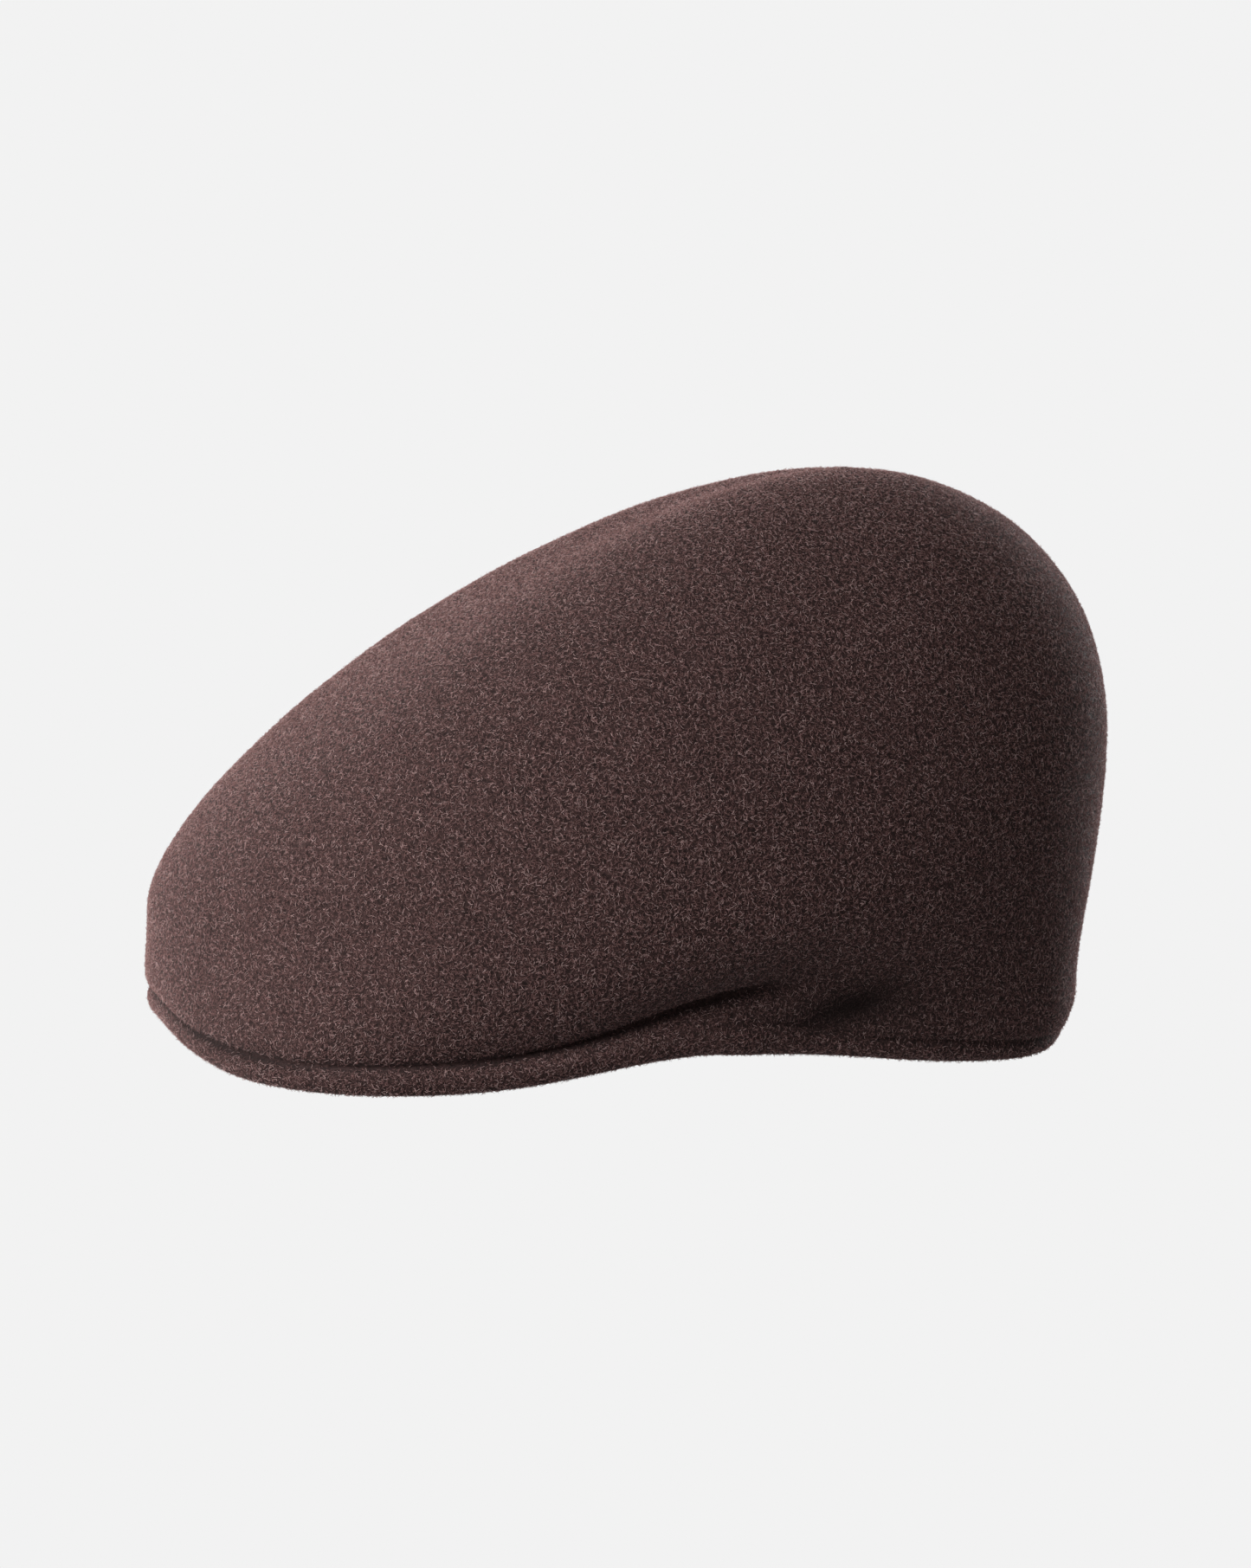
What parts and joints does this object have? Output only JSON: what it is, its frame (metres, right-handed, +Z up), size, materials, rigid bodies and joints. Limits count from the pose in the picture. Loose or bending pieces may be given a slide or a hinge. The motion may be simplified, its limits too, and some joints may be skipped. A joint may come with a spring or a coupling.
{
  "type": "moulded wool felt ivy cap",
  "caption": "Seamless moulded felt ivy cap with a short stiffened peak, sweatband, elastic back and flip-up inner labels.",
  "frame": {"origin": "on the resting plane under the middle of the cap's length and width", "axes": "+Y towards the back of the cap, the peak at -Y; +X the wearer's left; +Z up, away from the head opening"},
  "size_m": [0.194, 0.2668, 0.1559],
  "materials": {
    "wool_felt": "brown wool felt with a short raised nap, matt with a soft sheen at grazing angles",
    "peak_stiffener": "off-white stiffener board",
    "band_grosgrain": "dark brown ribbed grosgrain ribbon",
    "woven_elastic": "ribbed dark brown elastic",
    "label_satin": "blank cream satin tape",
    "sewing_thread": "brown twisted sewing thread"
  },
  "bodies": {
    "cap": {"crown_felt": "wool_felt", "sweatband": "band_grosgrain", "back_elastic": "woven_elastic", "sweatband_stitching": "sewing_thread", "elastic_join_stitching_left": "sewing_thread", "elastic_join_stitching_right": "sewing_thread", "maker_label": "label_satin", "maker_label_stitching": "sewing_thread"},
    "peak": {"peak_felt": "wool_felt", "peak_board": "peak_stiffener", "peak_root_stitching": "sewing_thread"},
    "care_label_tab": {"care_label": "label_satin", "care_label_stitching": "sewing_thread"},
    "size_label_tab": {"size_tab": "label_satin", "size_tab_stitching": "sewing_thread"}
  },
  "joints": [
    {"name": "peak_flex", "type": "hinge", "parent": "cap", "child": "peak", "pos_m": [0, -0.044, 0.005], "axis": [1, 0, 0], "range_deg": [0, 8], "stiffness_Nm_per_rad": 1.5},
    {"name": "care_label_flip", "type": "hinge", "parent": "cap", "child": "care_label_tab", "pos_m": [0.05761, 0.08328, 0.00788], "axis": [0.6281, -0.7781, 0], "range_deg": [0, 100], "stiffness_Nm_per_rad": 0.001},
    {"name": "size_tab_flip", "type": "hinge", "parent": "cap", "child": "size_label_tab", "pos_m": [-0.05862, 0.084, 0.00788], "axis": [0.6434, 0.7656, 0], "range_deg": [0, 100], "stiffness_Nm_per_rad": 0.001}
  ]
}
